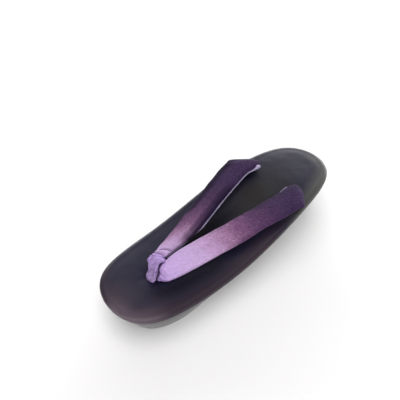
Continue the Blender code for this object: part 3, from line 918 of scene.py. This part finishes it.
def top_mesh():
    rings = []
    marks = []
    steps = 26
    for share in (0.0, 0.45, 0.85):
        u, v = toward_spine(*outline(PAD_ROLL), share)
        rings.append(ring(u, v, pad_under(u)))
        marks.append(0.0)
    for k in range(steps):
        turn = math.pi * k / (steps - 1) - 0.5 * math.pi
        cos, sin = abs(math.cos(turn)), abs(math.sin(turn))
        u, v = outline(PAD_ROLL * (1.0 - cos ** ROLL_SQUARE))
        high = PAD_HALF - CROWN if turn > 0.0 else -PAD_HALF
        rings.append(ring(u, v, along("rim", u) + high * sin ** ROLL_SQUARE))
        marks.append(max(0.0, math.sin(turn)) ** 2)
    for share in 1.0 - np.linspace(0.0, 1.0, 44)[1:] ** 1.35:
        u, v = toward_spine(*outline(PAD_ROLL), share)
        inside = 38.0 * (1.0 - share)
        rings.append(ring(u, v, along("rim", u) + PAD_HALF - PAD_DISH * (1.0 - share ** 2)
                          - CROWN * math.exp(-(inside / CROWN_REACH) ** 1.5)))
        marks.append(1.0)
    points = len(rings[0])
    flat = np.concatenate(rings)
    top = np.repeat(np.array(marks), points)
    lift = np.zeros(len(flat))
    for hu, hv, size, deep in HOLES:
        du, dv = flat[:, 0] - hu, flat[:, 1] - hv
        far = np.hypot(du, dv)
        turn = np.arctan2(dv, du)
        lift -= deep * np.exp(-(far / size) ** 2)
        pucker = 0.05 if hv == 0.0 else 0.16
        lift += pucker * np.exp(-((far - 9.0) / 4.5) ** 2) * np.cos(7.0 * turn + hu) * smoothstep(4.0, 8.0, far)
    lift += 0.22 * lumps(flat * np.array([1.0, 1.0, 0.0]), 34.0, 8) + 0.05 * lumps(flat, 9.0, 9)
    flat[:, 2] += lift * top
    return flat, loft_faces(len(rings), points, 0, False, False)


def leather_zones(u, v):
    """Where the cover's colour changes: painted highlights on its rim, brim, toe and heel, painted light at the
    front, painted shadow beside the strap, the greyer middle.
    """
    half = np.maximum(along("breadth", u) * np.sqrt(np.clip(1.0 - (2.0 * u / LENGTH - 1.0) ** 2, 0.0, 1.0)), 0.1)
    inside = np.minimum(half - np.abs(v), np.minimum(u, LENGTH - u) * 0.9)
    # painted highlight along the rim: on the near side, and round the toe
    rim = (1.0 - smoothstep(0.5, 16.0, inside)) * smoothstep(60.0, 120.0, u)
    rim = rim * np.maximum(smoothstep(-12.0, 10.0, v), smoothstep(212.0, 228.0, u))
    # painted highlight inside the toe's edge
    toe = (1.0 - smoothstep(1.0, 15.0, inside)) * bell(v, 15.0, 17.0) * smoothstep(204.0, 222.0, u)
    # painted highlight along the heel's edge, on the near side
    heel = (1.0 - smoothstep(0.5, 17.0, inside)) * smoothstep(98.0, 62.0, u) * smoothstep(-6.0, 16.0, v)
    middle = bell(u, 82.0, 34.0) * bell(v, 0.0, 20.0)
    # painted light: a brighter band inside the toe end
    front = (1.0 - smoothstep(8.0, 34.0, inside)) * smoothstep(192.0, 218.0, u) * smoothstep(-28.0, -4.0, v)
    # painted shadow: inside the V, and along the near leg's outer foot
    painted_shadow = bell(v, -3.5, 9.0) * smoothstep(88.0, 132.0, u) * smoothstep(198.0, 186.0, u)
    beside = bell(v, 18.5 + 0.18 * (202.0 - u), 6.5) * smoothstep(222.0, 192.0, u) * smoothstep(136.0, 162.0, u)
    painted_shadow = np.maximum(painted_shadow, 0.76 * beside)
    # painted highlight on the toe's rolled edge
    brim_highlight = bell(inside, 1.0, 1.3) * smoothstep(206.0, 220.0, u) * smoothstep(-5.0, 7.0, v) * smoothstep(38.0, 28.0, v)
    return {"rim": rim, "toe": toe, "heel": heel, "middle": middle, "front": front, "painted_shadow": painted_shadow, "brim_highlight": 0.5 * brim_highlight}


verts, faces = top_mesh()
top_cover = outward(build("top_cover", verts, faces, [top_leather]))


def hole_cutters(grow):
    cutters = []
    for side in (1, -1):
        v, f, _ = leg_mesh(side, grow, fine=False)
        cutters.append(outward(build("cut_leg", v, f, [])))
    angle = np.linspace(0.0, 2.0 * math.pi, 48, endpoint=False)
    cos, sin = np.cos(angle), np.sin(angle)
    levels = []
    for z, rear, front, half in ((9.8, 194.4, 204.0, 4.8), (18.0, 193.2, 204.8, 5.0), (23.0, 191.4, 204.9, 5.5), (34.0, 187.0, 204.0, 5.6)):
        reach = 0.5 * (front - rear) + grow
        levels.append(ring(0.5 * (front + rear) + reach * np.sign(cos) * np.abs(cos) ** 0.8,
                           (half + grow) * np.sign(sin) * np.abs(sin) ** 0.8, np.full(48, z)))
    cutters.append(outward(build("cut_loop", np.concatenate(levels), loft_faces(len(levels), 48), [])))
    return cutters


top_cover = subtract(top_cover, hole_cutters(0.55))
top_cover.data.shade_smooth()
top_cover.data.set_sharp_from_angle(angle=math.radians(48.0))
spots = np.array([v.co[:] for v in top_cover.data.vertices]) / MM
spots[:, 0] += 0.5 * LENGTH
for key, values in leather_zones(spots[:, 0], spots[:, 1]).items():
    layer = top_cover.data.attributes.new(key, "FLOAT", "POINT")
    layer.data.foreach_set("value", values.astype(np.float32))


# ---------------------------------------------------------------- the wrapped core
SOLE_JOINT = 0.06          # the hairline between the wrap and the walking sole


def wall_mesh():
    count = 420
    top = outline(WALL_TOP_INSET, count)
    edge_soft = 0.5
    foot = outline(along("inset", outline(0.0, count)[0]), count)
    levels = []
    for share in (0.0, 0.6, 0.92, 1.0):
        u, v = toward_spine(*outline(WALL_TOP_INSET + edge_soft, count), share)
        levels.append(ring(u, v, pad_under(u) - GAP))
    height_top = pad_under(top[0]) - GAP - edge_soft
    height_foot = ground(foot[0]) + OUTSOLE_THICK + SOLE_JOINT
    out_u, out_v = outline(0.0, count)
    near_u, near_v = outline(1.0, count)
    for share in np.linspace(0.0, 1.0, 22):
        swell = 0.9 * math.sin(math.pi * share)
        u = top[0] + (foot[0] - top[0]) * share + (out_u - near_u) * swell
        v = top[1] + (foot[1] - top[1]) * share + (out_v - near_v) * swell
        levels.append(ring(u, v, height_top + (height_foot - height_top) * share))
    start = 4
    for share in (0.9, 0.0):
        u, v = toward_spine(*foot, share)
        levels.append(ring(u, v, ground(u) + OUTSOLE_THICK + SOLE_JOINT))
    points = len(levels[0])
    flat = np.concatenate(levels)
    # the wrap's small unevenness, none at its top and foot edges
    side = np.zeros(len(levels))
    side[start:start + 22] = np.sin(math.pi * np.linspace(0.0, 1.0, 22)) ** 0.5
    side = np.repeat(side, points)
    out = np.stack([out_u - near_u, out_v - near_v], axis=1)
    out = np.tile(out, (len(levels), 1))
    bumpy = 0.16 * lumps(flat, 16.0, 12) + 0.07 * lumps(flat, 5.0, 13)
    flat[:, 0] += out[:, 0] * bumpy * side
    flat[:, 1] += out[:, 1] * bumpy * side
    return flat, loft_faces(len(levels), points, 0, False, False)


verts, faces = wall_mesh()
core_cover = outward(build("core_cover", verts, faces, [wall_leather]))
core_cover = subtract(core_cover, hole_cutters(0.45))
core_cover.data.shade_smooth()
core_cover.data.set_sharp_from_angle(angle=math.radians(40.0))


# ---------------------------------------------------------------- the walking sole
RIB_DEEP = 0.7


def tread_mesh():
    count = 420
    base = along("inset", outline(0.0, count)[0]) - OUTSOLE_EDGE
    levels = []
    for share in (0.0, 0.9, 1.0):
        u, v = toward_spine(*outline(base + 0.5, count), share)
        levels.append(ring(u, v, ground(u) + OUTSOLE_THICK))
    for extra, up in ((0.15, OUTSOLE_THICK - 0.15), (0.0, OUTSOLE_THICK - 0.5), (0.0, 1.5), (0.12, 1.1), (0.5, RIB_DEEP + 0.02)):
        u, v = outline(base + extra, count)
        levels.append(ring(u, v, ground(u) + up))
    u, v = outline(base + 0.8, count)
    levels.append(ring(u, v, ground(u)))
    u, v = outline(base + 3.4, count)
    levels.append(ring(u, v, ground(u)))
    u, v = outline(base + 3.8, count)
    levels.append(ring(u, v, ground(u) + RIB_DEEP))
    u2, v2 = toward_spine(*outline(base + 3.8, count), 0.0)
    levels.append(ring(u2, v2, ground(u2) + RIB_DEEP))
    verts = [np.concatenate(levels)]
    faces = loft_faces(len(levels), count, 0, False, False)
    start = len(verts[0])
    # cross ribs under the heel and the ball
    edge_u, edge_v = outline(base + 3.6, count)
    order = np.argsort(edge_u[: count // 2 + 1])
    half_u, half_v = edge_u[: count // 2 + 1][order], edge_v[: count // 2 + 1][order]
    for u0 in np.arange(22.0, 228.0, 3.1):
        if 84.0 < u0 < 140.0:
            continue
        reach = float(np.interp(u0, half_u, half_v)) + 0.1
        if reach < 4.0:
            continue
        g = float(ground(u0))
        profile = ((-0.95, RIB_DEEP + 0.3), (-0.95, 0.18), (-0.75, 0.0), (0.75, 0.0), (0.95, 0.18), (0.95, RIB_DEEP + 0.3))
        block = []
        for v0 in np.linspace(-reach, reach, 9):
            for du, up in profile:
                block.append((u0 + du, v0, float(ground(u0 + du)) + up))
        verts.append(np.array(block))
        faces += loft_faces(9, len(profile), start)
        start += len(block)
    return np.concatenate(verts), faces


verts, faces = tread_mesh()
tread = outward(build("walking_sole", verts, faces, [tread_rubber], 35.0))


# ---------------------------------------------------------------- each piece stands in for its part: the part is hidden, the piece hung on the root
for piece, node, finish in ((loop, "front_loop", "loop_crepe"), (strap, "strap", "strap_crepe"),
                            (top_cover, "top_pad", "pad_cover"), (core_cover, "sole_body", "core_wrap"),
                            (tread, "outsole", "walking_rubber")):
    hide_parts(node)
    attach(piece, "root")
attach(lining, "root")


# ---------------------------------------------------------------- floor, camera, light
EYE_TILT, EYE_ROLL, EYE_LENS_PX, EYE_FAR = 0.74104, -0.02213, 399.74156, 410.65604
STAND_X, STAND_Y, STAND_TURN = 21.855, -61.6064, 3.8632


def scene_to_row(x, y, z):
    """A point in the view's ground frame (x to the right, y away from the eye, mm) as a point in the row frame, in metres."""
    c, s = math.cos(STAND_TURN), math.sin(STAND_TURN)
    dx, dy = x - STAND_X, y - STAND_Y
    return Vector((c * dx + s * dy, -s * dx + c * dy, z)) * MM


def turn_to_row(vector):
    c, s = math.cos(STAND_TURN), math.sin(STAND_TURN)
    x, y, z = vector
    return Vector((c * x + s * y, -s * x + c * y, z))


eye = Vector((0.0, -math.cos(EYE_TILT), math.sin(EYE_TILT))) * EYE_FAR
ahead = -eye.normalized()
right = Vector((1.0, 0.0, 0.0))
up = right.cross(ahead)
right_rolled = right * math.cos(EYE_ROLL) + up * math.sin(EYE_ROLL)
up_rolled = up * math.cos(EYE_ROLL) - right * math.sin(EYE_ROLL)
camera_data = bpy.data.cameras.new("camera")
camera_data.sensor_fit = "HORIZONTAL"
camera_data.sensor_width = 36.0
camera_data.lens = EYE_LENS_PX * 36.0 / 400.0
camera_data.clip_start, camera_data.clip_end = 0.01, 20.0
camera = bpy.data.objects.new("camera", camera_data)
bpy.context.scene.collection.objects.link(camera)
axes = [turn_to_row(a) for a in (right_rolled, up_rolled, -ahead)]
where = scene_to_row(*eye)
camera.matrix_world = Matrix((
    (axes[0].x, axes[1].x, axes[2].x, where.x),
    (axes[0].y, axes[1].y, axes[2].y, where.y),
    (axes[0].z, axes[1].z, axes[2].z, where.z),
    (0.0, 0.0, 0.0, 1.0),
))
bpy.context.scene.camera = camera


def area(name, x, y, z, size_x, size_y, power, colour=(1.0, 1.0, 1.0), target=(0.0, 0.0, 20.0)):
    """A soft box placed in the view's ground frame, facing the target."""
    data = bpy.data.lights.new(name, "AREA")
    data.shape = "RECTANGLE"
    data.size, data.size_y = size_x * MM, size_y * MM
    data.energy = power
    data.color = colour
    obj = bpy.data.objects.new(name, data)
    bpy.context.scene.collection.objects.link(obj)
    place, aim = scene_to_row(x, y, z), scene_to_row(*target)
    obj.location = place
    obj.rotation_mode = "QUATERNION"
    obj.rotation_quaternion = (aim - place).to_track_quat("-Z", "Y")
    return obj


area("overhead", -160.0, -220.0, 1500.0, 1900.0, 1600.0, 15.0, (1.0, 0.97, 0.975))
area("back", 250.0, 1500.0, 380.0, 3400.0, 660.0, 50.0, (1.0, 1.0, 1.0))
area("front", 150.0, -1400.0, 1250.0, 2200.0, 1300.0, 11.5, (1.0, 1.0, 1.0))
area("low_front", 350.0, -1500.0, 260.0, 2200.0, 360.0, 5.0, (1.0, 1.0, 1.0))

world = bpy.data.worlds.new("studio")
bpy.context.scene.world = world
world.use_nodes = True
sky = world.node_tree.nodes["Background"]
# a pale room: bright low walls and ceiling, dimmer between
direction = world.node_tree.nodes.new("ShaderNodeTexCoord")
split = world.node_tree.nodes.new("ShaderNodeSeparateXYZ")
height = world.node_tree.nodes.new("ShaderNodeValToRGB")
world.node_tree.links.new(direction.outputs["Generated"], split.inputs["Vector"])
world.node_tree.links.new(split.outputs["Z"], height.inputs["Fac"])
# a little dimmer towards the left of the view
leftness = world.node_tree.nodes.new("ShaderNodeVectorMath")
leftness.operation = "DOT_PRODUCT"
leftness.inputs[1].default_value = turn_to_row((-1.0, 0.0, 0.0))
world.node_tree.links.new(direction.outputs["Generated"], leftness.inputs[0])
dimming = world.node_tree.nodes.new("ShaderNodeMapRange")
dimming.inputs["From Min"].default_value, dimming.inputs["From Max"].default_value = 0.1, 0.9
dimming.inputs["To Min"].default_value, dimming.inputs["To Max"].default_value = 1.0, 0.5
world.node_tree.links.new(leftness.outputs["Value"], dimming.inputs["Value"])
product = world.node_tree.nodes.new("ShaderNodeVectorMath")
product.operation = "MULTIPLY"
world.node_tree.links.new(height.outputs["Color"], product.inputs[0])
world.node_tree.links.new(dimming.outputs["Result"], product.inputs[1])
world.node_tree.links.new(product.outputs["Vector"], sky.inputs["Color"])
height.color_ramp.interpolation = "EASE"
room = height.color_ramp.elements
room[0].position, room[0].color = 0.0, (1.0, 1.0, 1.0, 1.0)
room[1].position, room[1].color = 1.0, (0.80, 0.80, 0.81, 1.0)
for at, level in ((0.26, 1.0), (0.46, 0.16), (0.88, 0.16), (0.95, 0.80)):
    room.new(at).color = (level, level, 1.01 * level, 1.0)
sky.inputs["Strength"].default_value = 1.0

floor_nodes = Nodes("paper")
floor_place = floor_nodes.place()
floor_tone = floor_nodes.noise(floor_place, 3.0, 2.0, 0.5)
floor_nodes.set(Base_Color=floor_nodes.mix(floor_tone, (0.86, 0.86, 0.855), (0.90, 0.90, 0.895)), Roughness=0.9)
floor_nodes.set(Specular_IOR_Level=0.2)
mesh = bpy.data.meshes.new("floor")
mesh.from_pydata([(-4.0, -4.0, 0.0), (4.0, -4.0, 0.0), (4.0, 4.0, 0.0), (-4.0, 4.0, 0.0)], [], [(0, 1, 2, 3)])
mesh.materials.append(floor_nodes.mat)
floor = bpy.data.objects.new("floor", mesh)
bpy.context.scene.collection.objects.link(floor)
floor.location = (0.0, 0.0, -0.00005)

bpy.context.scene.view_settings.view_transform = "Standard"
